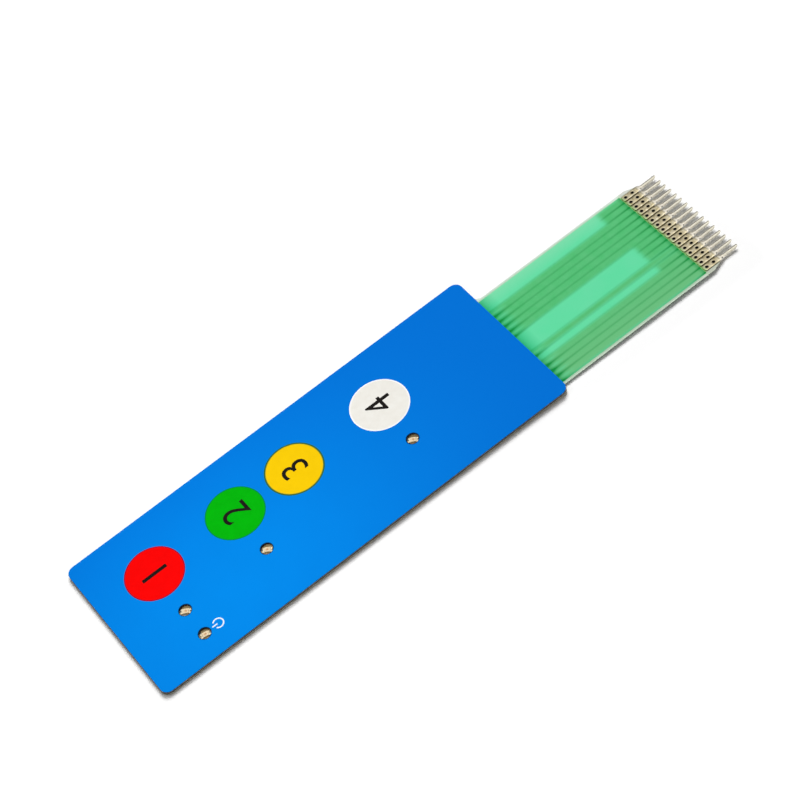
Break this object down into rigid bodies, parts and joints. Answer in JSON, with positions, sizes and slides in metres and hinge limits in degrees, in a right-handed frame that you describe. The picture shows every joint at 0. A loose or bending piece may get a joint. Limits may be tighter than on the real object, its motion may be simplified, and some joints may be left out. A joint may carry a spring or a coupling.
{
  "type": "membrane keypad",
  "caption": "Flat rectangular membrane keypad with round coloured keys and LED windows on a blue overlay, and a flat green film tail that ends in a row of crimped pins.",
  "frame": {"origin": "centre of the pad's rear face, on the release liner", "axes": "+X along the pad towards the tail's pins, +Y across the pad towards the row of keys, +Z out of the printed front"},
  "size_m": [0.2126, 0.0556, 0.0015],
  "materials": {
    "liner_paper": "matt siliconised paper",
    "adhesive": "translucent acrylic",
    "clear_film": "clear polyester",
    "silver_ink": "screen-printed silver ink",
    "green_coat": "screen-printed green coat",
    "spacer_film": "carbon-filled polyester",
    "blue_overlay": "printed polyester, semi-gloss",
    "red_ink": "printed, semi-gloss",
    "green_ink": "printed, semi-gloss",
    "yellow_ink": "printed, semi-gloss",
    "white_ink": "printed, semi-gloss",
    "dome_steel": "spring steel sheet",
    "led_base": "plated laminate",
    "led_lens": "moulded epoxy",
    "tinned_brass": "tin plated, satin",
    "rear_tape": "double-coated tape"
  },
  "bodies": {
    "root": {"release_liner": "liner_paper", "rear_adhesive": "rear_tape", "circuit_film": "clear_film", "silver_traces": "silver_ink", "tail_cover": "green_coat", "circuit_adhesive": "adhesive", "spacer": "spacer_film", "overlay_adhesive": "adhesive", "graphic_overlay": "blue_overlay", "red_key_field": "red_ink", "green_key_field": "green_ink", "yellow_key_field": "yellow_ink", "white_key_field": "white_ink", "snap_dome_1": "dome_steel", "snap_dome_2": "dome_steel", "snap_dome_3": "dome_steel", "snap_dome_4": "dome_steel", "led_base_1": "led_base", "led_base_2": "led_base", "led_base_3": "led_base", "led_base_4": "led_base", "led_lens_1": "led_lens", "led_lens_2": "led_lens", "led_lens_3": "led_lens", "led_lens_4": "led_lens", "contact_1": "tinned_brass", "contact_2": "tinned_brass", "contact_3": "tinned_brass", "contact_4": "tinned_brass", "contact_5": "tinned_brass", "contact_6": "tinned_brass", "contact_7": "tinned_brass", "contact_8": "tinned_brass", "contact_9": "tinned_brass", "contact_10": "tinned_brass", "contact_11": "tinned_brass", "contact_12": "tinned_brass", "contact_13": "tinned_brass", "contact_14": "tinned_brass", "contact_15": "tinned_brass", "contact_16": "tinned_brass"}
  },
  "joints": []
}
